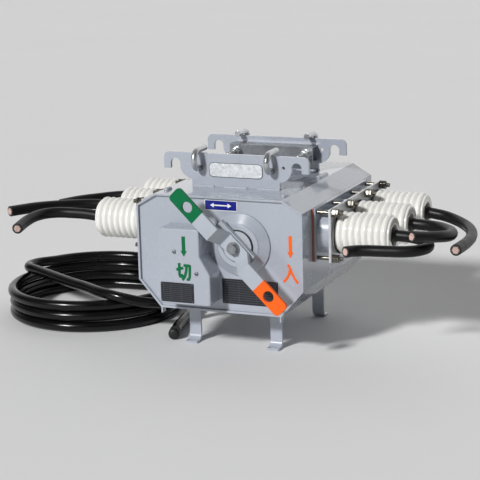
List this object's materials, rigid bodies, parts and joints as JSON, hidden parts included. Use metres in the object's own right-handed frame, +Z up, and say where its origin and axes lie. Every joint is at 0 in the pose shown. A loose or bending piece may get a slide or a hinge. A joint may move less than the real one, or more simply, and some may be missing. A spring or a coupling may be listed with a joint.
{
  "type": "gas load break switch",
  "caption": "Sealed octagonal switch tank on strip legs, with ribbed bushings and leads on both sides, a hanger and a two-armed operating lever.",
  "frame": {"origin": "on the floor under the middle of the switch, without its cables", "axes": "+X to the right seen from the lever's side, +Y to the back, +Z up"},
  "size_m": [1.0628, 0.477, 0.3945],
  "materials": {
    "tank_paint": "glossy light blue-grey paint",
    "galvanised": "hot-dip galvanised, mottled",
    "plated_steel": "zinc-plated, bright",
    "glazed_ceramic": "glossy white glaze",
    "black_rubber": "matt black rubber",
    "cable_sheath": "satin black sheath",
    "lever_steel": "grey paint with coloured ends"
  },
  "bodies": {
    "switch_body": {"roof_panel": "tank_paint", "left_wall": "tank_paint", "right_wall": "tank_paint", "floor_pan": "tank_paint", "front_plate": "tank_paint", "back_plate": "tank_paint", "front_left_leg": "tank_paint", "front_right_leg": "tank_paint", "back_left_leg": "tank_paint", "back_right_leg": "tank_paint", "mechanism_cover": "tank_paint", "lever_boss": "tank_paint", "roof_studs": "tank_paint", "left_pad": "tank_paint", "right_pad": "tank_paint", "right_ports": "tank_paint", "front_hanger": "tank_paint", "back_hanger": "tank_paint", "front_clamp_bar": "galvanised", "back_clamp_bar": "galvanised", "left_clamp_plate": "galvanised", "right_clamp_plate": "galvanised", "front_left_hook_bolt": "plated_steel", "front_right_hook_bolt": "plated_steel", "back_left_hook_bolt": "plated_steel", "back_right_hook_bolt": "plated_steel", "left_clamp_studs": "plated_steel", "right_clamp_studs": "plated_steel", "left_front_insulator": "glazed_ceramic", "left_middle_insulator": "glazed_ceramic", "left_back_insulator": "glazed_ceramic", "right_front_insulator": "glazed_ceramic", "right_middle_insulator": "glazed_ceramic", "right_back_insulator": "glazed_ceramic", "left_sleeves": "black_rubber", "right_sleeves": "black_rubber", "cable_gland": "black_rubber", "left_front_lead": "cable_sheath", "left_middle_lead": "cable_sheath", "left_back_lead": "cable_sheath", "right_front_lead": "cable_sheath", "right_middle_lead": "cable_sheath", "right_back_lead": "cable_sheath", "control_cable": "cable_sheath", "control_coil": "cable_sheath", "control_tail": "cable_sheath"},
    "lever": {"lever_shaft": "lever_steel", "lever_channel": "lever_steel", "lever_strap": "lever_steel", "lever_bolt": "lever_steel"}
  },
  "joints": [
    {"name": "lever_turn", "type": "hinge", "parent": "switch_body", "child": "lever", "pos_m": [0.032, -0.169, 0.223], "axis": [0, -1, 0], "range_deg": [0, 90]}
  ]
}
